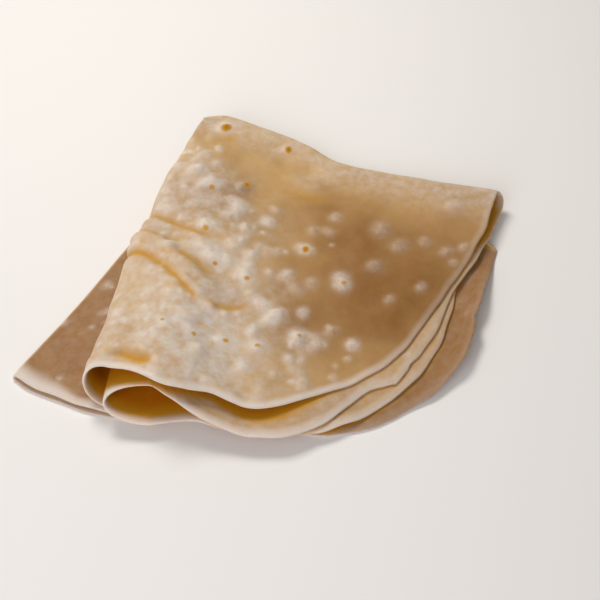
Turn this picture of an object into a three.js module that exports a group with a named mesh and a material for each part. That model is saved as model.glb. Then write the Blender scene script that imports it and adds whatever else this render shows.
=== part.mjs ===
import * as THREE from 'three';

// A large, thin flatbread folded in four and laid down. The fold at the left is loose and stands up in
// two loops, one inside the other. A pleat in the bottom quarter lets a flap stick out past that fold.
// Lengths are in millimetres and angles in degrees.
//
// The folded bread is set out round its tip, where the middle of the whole disc lies: r is the distance
// from the tip, and a is the angle from the upper fold, growing towards the loose fold at the left.

const SHEET_THICKNESS = 1.5;
const LAYER_PITCH = 2.1; // least distance between the middles of two layers that lie together
const SHEET_RADIUS = 180; // mean distance from the tip to the outer edge
const UPPER_FOLD_HEADING = -28.5; // direction of the upper fold, seen from above

// Angle at which each fold starts to turn.
const UPPER_FOLD = 0.5; // top layer to second layer
const LOWER_FOLD = 8.5; // bottom layer to third layer
const PLEAT = 66; // tuck to flap, hidden under the third layer
const INNER_FOLD = 71.5; // third layer to second layer, the inner loop
const OUTER_FOLD = 78; // top layer to tuck, the outer loop
const FLAP_FOLD = 80; // flap to bottom layer, near the tip
// Further out the flap's fold is a straight line with this direction, passing the tip at this distance.
const FLAP_LINE = { angle: 99.4, offset: 16 };

// How far a fold bulges sideways: as far as half its height, a little more so that it never creases, and
// for one with a nose, so much more for each millimetre that it stands open.
const SNUG_BULGE = 0.2;
const NO_NOSE = 0;
const INNER_LOOP_NOSE = 2.65;

// Outer edge of each layer, as [angle, distance from the tip].
const EDGE = {
  top: [
    [-2, 165.5], [3, 166.5], [7, 168.5], [18, 171.8], [26, 177.5], [34, 186], [40, 190], [46, 191],
    [51, 192.6], [56, 194.6], [60, 190.8], [63, 185.8], [66, 186.6], [69, 185.8], [73, 180], [78, 177.8],
  ],
  second: [
    [-2, 168.5], [5, 171], [12, 172], [20, 175.2], [28, 186.3], [34, 194], [37.6, 197.4], [41, 196.4],
    [45, 200.2], [48.5, 205.3], [54, 208.3], [58, 205], [62, 199.8], [66, 192.8], [69, 186.6],
    [71.5, 182], [80, 189],
  ],
  third: [
    [6, 169.5], [13.5, 170.2], [18, 173], [23, 181.4], [28, 191], [32.6, 198.3], [36, 201.8], [41, 205.8],
    [46, 208], [50, 208.3], [60, 200], [66, 192], [73, 195], [80, 192],
  ],
  tuck: [[60, 180], [70, 184], [82, 185]],
  flap: [[60, 186], [80, 186.4], [86, 184.5], [92, 183], [97, 180]],
  bottom: [
    [6, 174], [18, 188], [29, 208], [40, 213], [48, 209], [58, 194],
    [66, 187.5], [73, 187], [80, 188], [86, 186], [92, 184.5], [97, 181],
  ],
};

// Swellings that lift a layer, and all that lies on it, off the layer below. Each grows and dies away
// over a stretch of r and of a. One with a beyond has r counted from the edge of that layer, and one with
// a slant starts further out by so much for each degree short of the outer fold.
const TIP_LIFT = { height: 7, rOut: [0, 80] };
const RIM_CURL = { height: 8, beyond: 'third', rIn: [3, 18], aIn: [9, 19], aOut: [24, 42] };
const FLAP_GAPE = { height: 0.4, rIn: [140, 182], aIn: [80, 88] };
const BODY_PUFF = { height: 3.5, rIn: [30, 90], rOut: [120, 185], aIn: [8, 30], aOut: [60, 74] };
const FOLD_RISE = { height: 8.5, rIn: [12, 60], rOut: [85, 150], aIn: [36, 72] };
const LOBE_RISE = { height: 5, slant: 1.7, rIn: [80, 102], rOut: [115, 175], aIn: [50, 68] };
const INNER_LOOP = { height: 12.5, rIn: [70, 180], aIn: [58, 71] };
const OUTER_LOOP = { height: 4, rIn: [90, 178], aIn: [64, 72] };
const FRONT_GAPE = { height: 5, rIn: [110, 192], aIn: [46, 63], aOut: [65, 76] };
const UPPER_FOLD_GAPE = { height: 6.5, rIn: [90, 170], aOut: [3, 16] };
// Stretch of a over which the third layer climbs onto the pleat, wider near the tip.
const OVER_PLEAT = { from: 40, to: 58, fromAtTip: 2, r: [20, 110] };

// Creases of the top layer: ridges along lines of [r, a] points, with their height, half width and the
// share of their length over which each end dies away.
const CREASES = [
  {
    line: [[95, 81], [101, 77], [108, 71.5], [116, 67.4], [125, 64.4], [130, 61.5], [137, 55], [142, 49]],
    height: 2.8,
    width: 5.5,
    taper: 0.2,
  },
  { line: [[86, 82], [86, 75], [91, 68.7], [95, 63.5], [98, 58]], height: 1.4, width: 4.5, taper: 0.25 },
  { line: [[171, 80], [167, 76], [169, 72.5], [174, 68.5], [178, 65]], height: 1.1, width: 4.5, taper: 0.2 },
];

// Sideways bends of the outline: a shoulder of the upper fold beside the tip, and others as the place
// along r, the half length and the depth of each.
const TIP_SHOULDER = { height: -5.2, rIn: [-4, 12], rOut: [46, 80] };
const UPPER_FOLD_DENT = { r: 84, reach: 14, depth: 1.3 };
const UPPER_FOLD_CORNER = { r: 170, reach: 14, depth: -1.2 };
const LOBE_CORNER = { r: 84, reach: 34, depth: 2.6 };

// The layers are pinched together towards the tip.
const TIP_HEIGHT = 15;
const PINCH_LENGTH = 24;
const PINCH_SHARE = 0.15;

// Rings from the tip to the outer edge, and their places as [share of the rings, share of the way].
const RING_COUNT = 27;
const FIRST_RING = 0.012;
const RING_PLACES = [[0, FIRST_RING], [0.14, 0.1], [0.4, 0.46], [0.76, 0.77], [1, 1]];
const DENSER_LEFT = 0.87; // under 1, points lie closer towards the loose fold
const EVEN = 1;

const radians = THREE.MathUtils.degToRad;
const smooth = (value, [from, to]) => THREE.MathUtils.smoothstep(value, from, to);

/** Smooth curve through [x, y] points, level outside them. */
function curveAt(points, x) {
  const last = points.length - 1;
  const at = Math.min(Math.max(x, points[0][0]), points[last][0]);
  let i = 0;
  while (i < last - 1 && at > points[i + 1][0]) i += 1;
  const slope = (k) => {
    const before = points[Math.max(k - 1, 0)];
    const after = points[Math.min(k + 1, last)];
    return (after[1] - before[1]) / (after[0] - before[0]);
  };
  const span = points[i + 1][0] - points[i][0];
  const s = (at - points[i][0]) / span;
  const start = (1 + 2 * s) * (1 - s) ** 2 * points[i][1] + s * (1 - s) ** 2 * span * slope(i);
  const end = s * s * (3 - 2 * s) * points[i + 1][1] + s * s * (s - 1) * span * slope(i + 1);
  return start + end;
}

/** Height of one swelling at a place on the bread. */
function swell({ height, rIn, rOut, aIn, aOut, slant = 0, beyond }, r, a) {
  let share = 1;
  const start = slant * (OUTER_FOLD - a) + (beyond ? curveAt(EDGE[beyond], a) : 0);
  if (rIn) share *= smooth(r - start, rIn);
  if (rOut) share *= 1 - smooth(r, rOut);
  if (aIn) share *= smooth(a, aIn);
  if (aOut) share *= 1 - smooth(a, aOut);
  return height * share;
}

/** How much of the full thickness is left near the tip. */
function pinch(r) {
  const t = Math.min(r / PINCH_LENGTH, 1);
  return PINCH_SHARE + (1 - PINCH_SHARE) * Math.sin((Math.PI / 2) * t);
}

/** Lift of the top layer along one crease. */
function creaseLift({ line, height, width, taper }, r, a) {
  const flat = ([out, turn]) => new THREE.Vector3().setFromCylindricalCoords(out, radians(turn), 0);
  const place = flat([r, a]);
  const knots = line.map(flat);
  const nearest = new THREE.Vector3();
  const segment = new THREE.Line3();
  let gap = Infinity;
  let along = 0;
  let length = 0;
  for (let k = 1; k < knots.length; k += 1) {
    segment.set(knots[k - 1], knots[k]);
    segment.closestPointToPoint(place, true, nearest);
    if (nearest.distanceTo(place) < gap) {
      gap = nearest.distanceTo(place);
      along = length + nearest.distanceTo(knots[k - 1]);
    }
    length += segment.distance();
  }
  const ends = smooth(along / length, [0, taper]) * (1 - smooth(along / length, [1 - taper, 1]));
  return height * ends * Math.exp(-((gap / width) ** 2));
}

/** Height of the middle of every layer over one place on the bread. */
function layerHeights(r, a) {
  const bottom = SHEET_THICKNESS / 2 + swell(TIP_LIFT, r, a) + swell(RIM_CURL, r, a);
  const flap = bottom + LAYER_PITCH + swell(FLAP_GAPE, r, a);
  const tuck = flap + LAYER_PITCH;
  const climbFrom = THREE.MathUtils.lerp(OVER_PLEAT.fromAtTip, OVER_PLEAT.from, smooth(r, OVER_PLEAT.r));
  const bed = bottom + (tuck - bottom) * smooth(a, [climbFrom, OVER_PLEAT.to]);
  const risen = swell(BODY_PUFF, r, a) + swell(FOLD_RISE, r, a) + swell(LOBE_RISE, r, a);
  const third = bed + LAYER_PITCH + risen;
  const second = third + LAYER_PITCH + swell(INNER_LOOP, r, a);
  const gape = swell(OUTER_LOOP, r, a) + swell(FRONT_GAPE, r, a) + swell(UPPER_FOLD_GAPE, r, a);
  const creased = CREASES.reduce((sum, crease) => sum + creaseLift(crease, r, a), 0);
  const top = second + LAYER_PITCH + gape + creased;
  const heights = { top, second, third, tuck, flap, bottom };
  for (const layer of Object.keys(heights)) {
    heights[layer] = TIP_HEIGHT + (heights[layer] - TIP_HEIGHT) * pinch(r);
  }
  return heights;
}

/** Sideways shift of the outline, towards growing a. */
function outlineShift(r, a) {
  const bend = ({ r: centre, reach, depth }) => depth * Math.exp(-(((r - centre) / reach) ** 2));
  const across = Math.min(Math.max(a / OUTER_FOLD, 0), 1);
  const upper = swell(TIP_SHOULDER, r, a) + bend(UPPER_FOLD_DENT) + bend(UPPER_FOLD_CORNER);
  return upper * (1 - across) ** 2 + bend(LOBE_CORNER) * across ** 3;
}

/** Point in space at a place on the bread, moved sideways and set at a height. */
function pointAt(r, a, sideways, height) {
  const heading = radians(UPPER_FOLD_HEADING - a);
  const shift = outlineShift(r, a) + sideways;
  const x = r * Math.cos(heading) + shift * Math.sin(heading);
  const y = r * Math.sin(heading) - shift * Math.cos(heading);
  return new THREE.Vector3(x, y, height);
}

/** Angle of the flap's fold, which leaves the other folds and runs straight to the edge. */
function flapFold(share) {
  const turnedBack = Math.asin(Math.min(FLAP_LINE.offset / (share * SHEET_RADIUS), 1));
  return Math.max(FLAP_FOLD, FLAP_LINE.angle - THREE.MathUtils.radToDeg(turnedBack));
}

/** Points of one flat stretch of a layer, from one fold to the next. */
function panel(layer, from, to, count, spacing, share) {
  const points = [];
  for (let k = 0; k < count; k += 1) {
    const s = k / (count - 1);
    const along = from < to ? s ** spacing : 1 - (1 - s) ** spacing;
    const a = from + (to - from) * along;
    const r = share * curveAt(EDGE[layer], a);
    points.push(pointAt(r, a, 0, layerHeights(r, a)[layer]));
  }
  return points;
}

/** Points of one fold, half an ellipse from one layer to another; side is 1 at the left, -1 at the right. */
function fold(fromLayer, toLayer, a, side, nose, count, share) {
  const points = [];
  const fromR = share * curveAt(EDGE[fromLayer], a);
  const toR = share * curveAt(EDGE[toLayer], a);
  const fromHeight = layerHeights(fromR, a)[fromLayer];
  const toHeight = layerHeights(toR, a)[toLayer];
  const halfHeight = (fromHeight - toHeight) / 2;
  const open = Math.max(Math.abs(halfHeight) - LAYER_PITCH, 0);
  const reach = Math.abs(halfHeight) + nose * open + SNUG_BULGE * pinch(fromR);
  for (let k = 1; k <= count; k += 1) {
    const turn = (Math.PI * k) / (count + 1);
    const r = (fromR + toR) / 2 + ((fromR - toR) / 2) * Math.cos(turn);
    const sideways = side * reach * Math.sin(turn);
    const height = (fromHeight + toHeight) / 2 + halfHeight * Math.cos(turn);
    points.push(pointAt(r, a, sideways, height));
  }
  return points;
}

/** Closed ring of the sheet's middle, at one share of the way from the tip to the outer edge. */
function ringAt(share) {
  const flapAngle = flapFold(share);
  return [
    ...panel('top', UPPER_FOLD, OUTER_FOLD, 34, DENSER_LEFT, share),
    ...fold('top', 'tuck', OUTER_FOLD, 1, NO_NOSE, 6, share),
    ...panel('tuck', OUTER_FOLD, PLEAT, 2, EVEN, share),
    ...fold('tuck', 'flap', PLEAT, -1, NO_NOSE, 2, share),
    ...panel('flap', PLEAT, flapAngle, 6, EVEN, share),
    ...fold('flap', 'bottom', flapAngle, 1, NO_NOSE, 3, share),
    ...panel('bottom', flapAngle, LOWER_FOLD, 16, EVEN, share),
    ...fold('bottom', 'third', LOWER_FOLD, -1, NO_NOSE, 2, share),
    ...panel('third', LOWER_FOLD, INNER_FOLD, 14, DENSER_LEFT, share),
    ...fold('third', 'second', INNER_FOLD, 1, INNER_LOOP_NOSE, 6, share),
    ...panel('second', INNER_FOLD, UPPER_FOLD, 14, DENSER_LEFT, share),
    ...fold('second', 'top', UPPER_FOLD, -1, NO_NOSE, 3, share),
  ];
}

/** Rings of the sheet from the tip outwards. */
function sheetRings() {
  return Array.from({ length: RING_COUNT }, (_, i) => ringAt(curveAt(RING_PLACES, i / (RING_COUNT - 1))));
}

/** Closed solid of the sheet: the outside face, the inside face and the strips along both edges. */
function thicken(rings) {
  const points = rings[0].length;
  const last = rings.length - 1;
  const outside = [];
  const inside = [];
  rings.forEach((ring, i) => {
    ring.forEach((middle, j) => {
      const along = ring[(j + 1) % points].clone().sub(ring[(j + points - 1) % points]);
      const outward = rings[Math.min(i + 1, last)][j].clone().sub(rings[Math.max(i - 1, 0)][j]);
      const normal = along.cross(outward).normalize();
      const half = (SHEET_THICKNESS / 2) * pinch(Math.hypot(middle.x, middle.y));
      outside.push(middle.clone().addScaledVector(normal, half));
      inside.push(middle.clone().addScaledVector(normal, -half));
    });
  });
  const index = [];
  const quad = (p, q, s, t) => index.push(p, q, s, p, s, t);
  const offset = outside.length;
  for (let j = 0; j < points; j += 1) {
    const next = (j + 1) % points;
    for (let i = 0; i < last; i += 1) {
      const p = i * points + j;
      const q = i * points + next;
      quad(p, q, q + points, p + points);
      quad(offset + p, offset + p + points, offset + q + points, offset + q);
    }
    const edge = last * points;
    quad(j, offset + j, offset + next, next);
    quad(edge + j, edge + next, offset + edge + next, offset + edge + j);
  }
  const geometry = new THREE.BufferGeometry().setFromPoints([...outside, ...inside]);
  geometry.setIndex(index);
  return geometry;
}

/** Moves the bread so that the middle of its underside box is the origin. */
function centreOnFloor(geometry) {
  geometry.computeBoundingBox();
  const box = geometry.boundingBox;
  const middle = box.getCenter(new THREE.Vector3());
  geometry.translate(-middle.x, -middle.y, -box.min.z);
  geometry.computeVertexNormals();
  return geometry;
}

const bread = new THREE.MeshStandardMaterial({ color: '#d2b48c', roughness: 0.8, metalness: 0 });
const roti = new THREE.Mesh(centreOnFloor(thicken(sheetRings())), bread);
roti.name = 'roti';

const part = new THREE.Group();
part.name = 'rumali_roti';
part.add(roti);

export default part;
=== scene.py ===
"""A rumali roti: one large, thin, soft flatbread folded in four and laid down, with its studio.

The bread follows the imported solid: the same sheet, set out round its folded tip, with the same folds and
swellings, drawn much finer. Creases, blisters, ragged edges and the baked colours are added here.
Sizes are in millimetres and degrees; Blender's own units are metres.
"""

import logging
import math
from dataclasses import dataclass, field
from enum import Enum

import bpy
import numpy as np
from mathutils import Matrix, Vector


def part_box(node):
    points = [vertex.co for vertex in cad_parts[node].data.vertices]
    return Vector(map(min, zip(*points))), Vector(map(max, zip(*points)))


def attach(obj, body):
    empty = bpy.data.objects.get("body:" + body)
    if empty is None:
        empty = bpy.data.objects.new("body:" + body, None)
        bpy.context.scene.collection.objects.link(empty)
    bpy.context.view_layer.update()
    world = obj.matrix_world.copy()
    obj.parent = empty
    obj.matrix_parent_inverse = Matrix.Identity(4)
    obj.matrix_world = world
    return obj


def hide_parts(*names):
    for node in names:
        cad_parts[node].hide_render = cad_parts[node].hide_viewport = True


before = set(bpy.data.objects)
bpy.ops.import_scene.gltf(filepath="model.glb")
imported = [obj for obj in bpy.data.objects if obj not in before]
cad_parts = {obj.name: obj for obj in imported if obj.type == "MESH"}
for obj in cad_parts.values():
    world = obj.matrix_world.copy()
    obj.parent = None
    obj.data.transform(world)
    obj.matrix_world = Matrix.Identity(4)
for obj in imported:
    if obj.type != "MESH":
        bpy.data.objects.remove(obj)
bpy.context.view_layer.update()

LOG = logging.getLogger("rumali_roti")
MM = 0.001
QUARTER_TURN = 90.0
NO_LAYER = -1
NODE = "roti"

Array = np.ndarray
Span = tuple[float, float]
Outline = tuple[tuple[float, float], ...]


def smooth(value: Array, span: Span) -> Array:
    """Eases from 0 to 1 as a value crosses a span.

    Args:
        value: Values to ease.
        span: Where the step starts and ends; it falls if the end is below the start.

    Returns:
        Shares between 0 and 1.
    """
    share = np.clip((value - span[0]) / (span[1] - span[0]), 0.0, 1.0)
    return share * share * (3.0 - 2.0 * share)


def between(span: Span, share: Array | float) -> Array | float:
    """Returns the value at a share of the way along a span."""
    return span[0] + (span[1] - span[0]) * share


def on_disc(r: Array | float, a: Array | float) -> tuple[Array, Array]:
    """Returns the x and y on the flat disc of places at distances r from the tip and angles a."""
    return r * np.cos(np.radians(a)), r * np.sin(np.radians(a))


def curve_at(points: Outline, x: Array) -> Array:
    """Reads a smooth curve through points, level outside them.

    Args:
        points: The curve's points as (x, y), with x growing.
        x: Where to read it.

    Returns:
        The curve's values.
    """
    xs, ys = np.array(points, dtype=float).T
    order = np.arange(len(xs))
    before = np.maximum(order - 1, 0)
    after = np.minimum(order + 1, len(xs) - 1)
    slope = (ys[after] - ys[before]) / (xs[after] - xs[before])
    at = np.clip(x, xs[0], xs[-1])
    i = np.searchsorted(xs[1:-1], at)
    span = xs[i + 1] - xs[i]
    s = (at - xs[i]) / span
    start = (1 + 2 * s) * (1 - s) ** 2 * ys[i] + s * (1 - s) ** 2 * span * slope[i]
    end = s * s * (3 - 2 * s) * ys[i + 1] + s * s * (s - 1) * span * slope[i + 1]
    return start + end


def linear(hex_colour: str) -> tuple[float, float, float, float]:
    """Turns an sRGB hex colour into Blender's linear RGBA.

    Args:
        hex_colour: A colour such as "#d8c19c".

    Returns:
        Linear red, green, blue and an alpha of 1.
    """
    channels = [int(hex_colour[i:i + 2], 16) / 255 for i in (1, 3, 5)]
    red, green, blue = (c / 12.92 if c <= 0.04045 else ((c + 0.055) / 1.055) ** 2.4 for c in channels)
    return red, green, blue, 1.0


def add_node(tree: bpy.types.NodeTree, kind: str, settings: dict[str, object] | None = None,
             inputs: dict[int | str, object] | None = None) -> bpy.types.Node:
    """Adds a shader node with its settings and links.

    Args:
        tree: The node tree.
        kind: The node's type name.
        settings: Properties to set on the node.
        inputs: A value, or an output socket to link, for each input by name or number.

    Returns:
        The new node.
    """
    node = tree.nodes.new(kind)
    for name, value in (settings or {}).items():
        setattr(node, name, value)
    for name, value in (inputs or {}).items():
        if isinstance(value, bpy.types.NodeSocket):
            tree.links.new(value, node.inputs[name])
        else:
            node.inputs[name].default_value = value
    return node


class Layer(Enum):
    """Layers of the folded bread, from the top down."""

    TOP = 0
    SECOND = 1
    THIRD = 2
    TUCK = 3
    FLAP = 4
    BOTTOM = 5


class Side(Enum):
    """Which way a fold bulges."""

    LEFT = 1
    RIGHT = -1


class Cover(Enum):
    """What lies over a face, where no other layer does."""

    NOTHING = "nothing"
    OWN_EDGE = "own edge"


class Mark(Enum):
    """Per-point values that the dough's colours are drawn from."""

    FROST = "frost"
    TOAST = "toast"
    # Amber and deep carry painted shade, and edge a painted highlight along the rims.
    AMBER = "amber"
    DEEP = "deep"
    TAN = "tan"
    EDGE = "edge"
    MOTTLE = "mottle"


@dataclass(frozen=True)
class Swelling:
    """A lift of one layer, and of all that lies on it, off the layer below.

    It grows and dies away over stretches of r and of a. One with a beyond has r counted from the edge of
    that layer, and one with a slant starts further out for each degree short of the outer fold.
    """

    height: float
    r_in: Span | None = None
    r_out: Span | None = None
    a_in: Span | None = None
    a_out: Span | None = None
    slant: float = 0.0
    beyond: Layer | None = None


@dataclass(frozen=True)
class SideBend:
    """A sideways bend of the outline: its place along r, its half length and its depth."""

    r: float
    reach: float
    depth: float

    def at(self, r: Array) -> Array:
        """Returns the bend's depth at each r."""
        return self.depth * np.exp(-(((r - self.r) / self.reach) ** 2))


@dataclass(frozen=True)
class Crease:
    """A ridge, or a valley where the height is below 0, along a line of (r, a) points of the top face, with
    painted amber shade of strength amber.
    """

    points: Outline
    height: float
    width: float
    amber: float = 0.0
    taper: float = 0.3

    def share_at(self, x: Array, y: Array) -> Array:
        """Finds how fully the crease is formed at each place.

        Args:
            x: Places on the flat disc.
            y: Places on the flat disc.

        Returns:
            1 along the crease's middle, falling to 0 beside it and at its ends.
        """
        knots = np.stack(on_disc(*np.array(self.points, dtype=float).T), axis=1)
        lengths = np.hypot(*np.diff(knots, axis=0).T)
        starts = np.concatenate([[0.0], np.cumsum(lengths)])
        nearest = np.full(x.shape, np.inf)
        along = np.zeros(x.shape)
        for k, length in enumerate(lengths):
            step = (knots[k + 1] - knots[k]) / length
            s = np.clip((x - knots[k, 0]) * step[0] + (y - knots[k, 1]) * step[1], 0.0, length)
            distance = np.hypot(x - knots[k, 0] - s * step[0], y - knots[k, 1] - s * step[1])
            closer = distance < nearest
            nearest = np.where(closer, distance, nearest)
            along = np.where(closer, starts[k] + s, along)
        share = along / starts[-1]
        ends = smooth(share, (0.0, self.taper)) * smooth(share, (1.0, 1.0 - self.taper))
        return ends * np.exp(-((nearest / self.width) ** 2))


@dataclass(frozen=True)
class Tear:
    """A torn step in a layer's edge: the edge stands out on the side of smaller a and comes back slowly."""

    layer: Layer
    a: float
    depth: float
    reach: float

    def at(self, a: Array) -> Array:
        """Returns how far the tear moves the edge outwards at each angle."""
        return self.depth * (a < self.a) * (1 - smooth(self.a - a, (0.0, self.reach)))


@dataclass(frozen=True)
class Blister:
    """A bubble baked into the sheet, dry and pale on top.

    One with a toast has a toasted spot of that radius at its place, and its dome may lie behind the spot,
    nearer the tip.
    """

    r: float
    a: float
    radius: float
    frost: float = 0.42
    toast: float = 0.0
    behind: float = 0.0
    rise: float = 0.3

    def spot(self) -> Span:
        """Returns the place of its toasted spot on the flat disc."""
        return on_disc(self.r, self.a)

    def dome(self) -> Span:
        """Returns the place of its dome on the flat disc."""
        return on_disc(self.r - self.behind, self.a)


@dataclass(frozen=True)
class Patch:
    """A soft-edged patch of the top face, by its place, its size and how strong it is."""

    r: float
    a: float
    radius: float
    depth: float

    def share_at(self, x: Array, y: Array) -> Array:
        """Gives the patch's strength at places on the flat disc.

        Args:
            x: Places on the flat disc.
            y: Places on the flat disc.

        Returns:
            Strengths, the depth in the middle and 0 far away.
        """
        middle_x, middle_y = on_disc(self.r, self.a)
        gap = np.hypot(x - middle_x, y - middle_y)
        return self.depth * np.exp(-((gap / self.radius) ** 2))


@dataclass
class Course:
    """One stretch of the sheet's middle, by ring and by point.

    Attributes:
        points: Places in space.
        r: Distance from the tip.
        a: Angle from the upper fold.
        edge: Distance to the outer edge along the sheet.
        layer: Its layer, or nothing for a fold.
    """

    points: Array
    r: Array
    a: Array
    edge: Array
    layer: Layer | None = None


@dataclass
class Stretch:
    """One stretch of the sheet, a flat one or a fold.

    Attributes:
        course: Where it runs.
        over_outside: What covers its outside face.
        over_inside: What covers its inside face.
        follows: Share of the top face's creases that it follows; at 0 it stays even and level.
        shows: Whether it is part of the top face, with its blisters and browning.
        brown: How brown its dough is, where it isn't part of the top face, partly as painted shade.
        dry: How dry and pale its dough is, where it isn't part of the top face, partly as painted highlight.
        rim: How strong the painted highlight on the edge of its inside face is, against that of the outside
            face.
        amber_from: Stretch of a over which its outside face gets painted amber shade, if it does.
    """

    course: Course
    over_outside: "Layer | Cover"
    over_inside: "Layer | Cover"
    follows: float = 0.0
    shows: bool = False
    brown: float = 0.4
    dry: float = 0.3
    rim: float = 0.4
    amber_from: Span | None = None


@dataclass
class SheetGrid:
    """The middle of the sheet: rings from the tip outwards, each a closed row of points.

    Attributes:
        points: Places in space, by ring and by point.
        r: Distance from the tip.
        a: Angle from the upper fold.
        turn: Angle round the flat disc, equal to a on the top layer.
        edge: Distance to the outer edge along the sheet.
        depth_outside: How far the outside face lies in under the edge of what covers it.
        depth_inside: The same for the inside face.
        amber: How much painted amber shade the outside face has in any case.
        follows: Share of the top face's creases that each point follows.
        shows: 1 for the points of the top face, else 0.
        layer: Number of each point's layer, or NO_LAYER in a fold.
        brown: How brown the dough is off the top face, partly as painted shade.
        dry: How dry and pale the dough is off the top face, partly as painted highlight.
        rim: How strong the painted highlight on the edge of the inside face is, against that of the outside
            face.
        fine: How many points of each ring are part of the top face.
    """

    points: Array
    r: Array
    a: Array
    turn: Array
    edge: Array
    depth_outside: Array
    depth_inside: Array
    amber: Array
    follows: Array
    shows: Array
    layer: Array
    brown: Array
    dry: Array
    rim: Array
    fine: int


@dataclass
class FoldedSheet:
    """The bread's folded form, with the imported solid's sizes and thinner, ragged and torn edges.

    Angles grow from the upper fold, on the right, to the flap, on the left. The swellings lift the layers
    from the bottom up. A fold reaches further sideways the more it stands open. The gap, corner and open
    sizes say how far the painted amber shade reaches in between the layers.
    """

    thickness: float = 1.5
    pitch: float = 2.1
    radius: float = 180.0
    upper_heading: float = -28.5
    upper_fold: float = 0.5
    lower_fold: float = 8.5
    pleat: float = 66.0
    inner_fold: float = 71.5
    outer_fold: float = 78.0
    flap_fold: float = 80.0
    flap_line: float = 99.4
    flap_line_offset: float = 16.0
    snug_bulge: float = 0.2
    inner_nose: float = 2.65
    edges: dict[Layer, Outline] = field(default_factory=lambda: {
        Layer.TOP: ((-2, 165.5), (3, 166.5), (7, 168.5), (18, 171.8), (26, 177.5), (34, 186), (40, 190),
                    (46, 191), (51, 192.6), (56, 194.6), (60, 190.8), (63, 185.8), (66, 186.6), (69, 185.8),
                    (73, 180), (78, 177.8)),
        Layer.SECOND: ((-2, 168.5), (5, 171), (12, 172), (20, 175.2), (28, 186.3), (34, 194), (37.6, 197.4),
                       (41, 196.4), (45, 200.2), (48.5, 205.3), (54, 208.3), (58, 205), (62, 199.8),
                       (66, 192.8), (69, 186.6), (71.5, 182), (80, 189)),
        Layer.THIRD: ((6, 169.5), (13.5, 170.2), (18, 173), (23, 181.4), (28, 191), (32.6, 198.3),
                      (36, 201.8), (41, 205.8), (46, 208), (50, 208.3), (60, 200), (66, 192), (73, 195),
                      (80, 192)),
        Layer.TUCK: ((60, 180), (70, 184), (82, 185)),
        Layer.FLAP: ((60, 186), (80, 186.4), (86, 184.5), (92, 183), (97, 180)),
        Layer.BOTTOM: ((6, 174), (18, 188), (29, 208), (40, 213), (48, 209), (58, 194), (66, 187.5),
                       (73, 187), (80, 188), (86, 186), (92, 184.5), (97, 181)),
    })
    tip_lift: Swelling = Swelling(7.0, r_out=(0, 80))
    rim_curl: Swelling = Swelling(8.0, r_in=(3, 18), a_in=(9, 19), a_out=(24, 42), beyond=Layer.THIRD)
    flap_gape: Swelling = Swelling(0.4, r_in=(140, 182), a_in=(80, 88))
    body_puff: Swelling = Swelling(3.5, r_in=(30, 90), r_out=(120, 185), a_in=(8, 30), a_out=(60, 74))
    fold_rise: Swelling = Swelling(8.5, r_in=(12, 60), r_out=(85, 150), a_in=(36, 72))
    lobe_rise: Swelling = Swelling(5.0, r_in=(80, 102), r_out=(115, 175), a_in=(50, 68), slant=1.7)
    inner_loop: Swelling = Swelling(12.5, r_in=(70, 180), a_in=(58, 71))
    outer_loop: Swelling = Swelling(4.0, r_in=(90, 178), a_in=(64, 72))
    front_gape: Swelling = Swelling(5.0, r_in=(110, 192), a_in=(46, 63), a_out=(65, 76))
    upper_gape: Swelling = Swelling(6.5, r_in=(90, 170), a_out=(3, 16))
    over_pleat: Span = (40.0, 58.0)
    gap_reach: float = 5.0
    gap_side: Span = (43.0, 55.0)
    gap_end: Span = (66.0, 56.0)
    corner_reach: float = 3.0
    corner_side: Span = (14.0, 5.0)
    open_from: dict[Layer, Span] = field(default_factory=lambda: {
        Layer.SECOND: (56.0, 68.0),
        Layer.THIRD: (58.0, 70.0),
    })
    over_pleat_at_tip: float = 2.0
    over_pleat_r: Span = (20.0, 110.0)
    tip_shoulder: Swelling = Swelling(-5.2, r_in=(-4, 12), r_out=(46, 80))
    upper_dent: SideBend = SideBend(84.0, 14.0, 1.3)
    upper_corner: SideBend = SideBend(170.0, 14.0, -1.2)
    lobe_corner: SideBend = SideBend(84.0, 34.0, 2.6)
    tip_height: float = 15.0
    pinch_length: float = 24.0
    pinch_share: float = 0.15
    first_ring: float = 0.003
    ring_count: int = 171
    denser_left: float = 0.87
    edge_thickness: float = 1.3
    edge_thins_over: float = 4.0
    lip: float = 3.0
    ragged: float = 0.35
    ragged_waves: int = 7
    ragged_cycles: Span = (18.0, 75.0)
    ragged_seed: int = 11
    tears: tuple[Tear, ...] = (
        Tear(Layer.SECOND, 38.2, 1.2, 4.0),
        Tear(Layer.SECOND, 34.2, -1.2, 2.0),
        Tear(Layer.BOTTOM, 23.0, -2.4, 4.0),
    )

    def edge_at(self, layer: Layer, a: Array) -> Array:
        """Gives the distance from the tip to a layer's slightly ragged edge.

        Args:
            layer: The layer.
            a: Angles to read it at.

        Returns:
            Distances from the tip.
        """
        draws = np.random.default_rng(self.ragged_seed + layer.value)
        wave = np.zeros_like(a)
        for _ in range(self.ragged_waves):
            cycles_per_turn = draws.uniform(*self.ragged_cycles)
            wave += np.sin(np.radians(cycles_per_turn * a) + draws.uniform(0.0, 2.0 * math.pi))
        torn = sum(tear.at(a) for tear in self.tears if tear.layer is layer)
        return curve_at(self.edges[layer], a) + self.ragged * wave / math.sqrt(self.ragged_waves) + torn

    def swell(self, lift: Swelling, r: Array, a: Array) -> Array:
        """Gives the height of one swelling at each place.

        Args:
            lift: The swelling.
            r: Distances from the tip.
            a: Angles from the upper fold.

        Returns:
            Heights.
        """
        start = lift.slant * (self.outer_fold - a)
        if lift.beyond is not None:
            start = start + curve_at(self.edges[lift.beyond], a)
        share = np.ones_like(r)
        if lift.r_in:
            share = share * smooth(r - start, lift.r_in)
        if lift.r_out:
            share = share * (1 - smooth(r, lift.r_out))
        if lift.a_in:
            share = share * smooth(a, lift.a_in)
        if lift.a_out:
            share = share * (1 - smooth(a, lift.a_out))
        return lift.height * share

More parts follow.
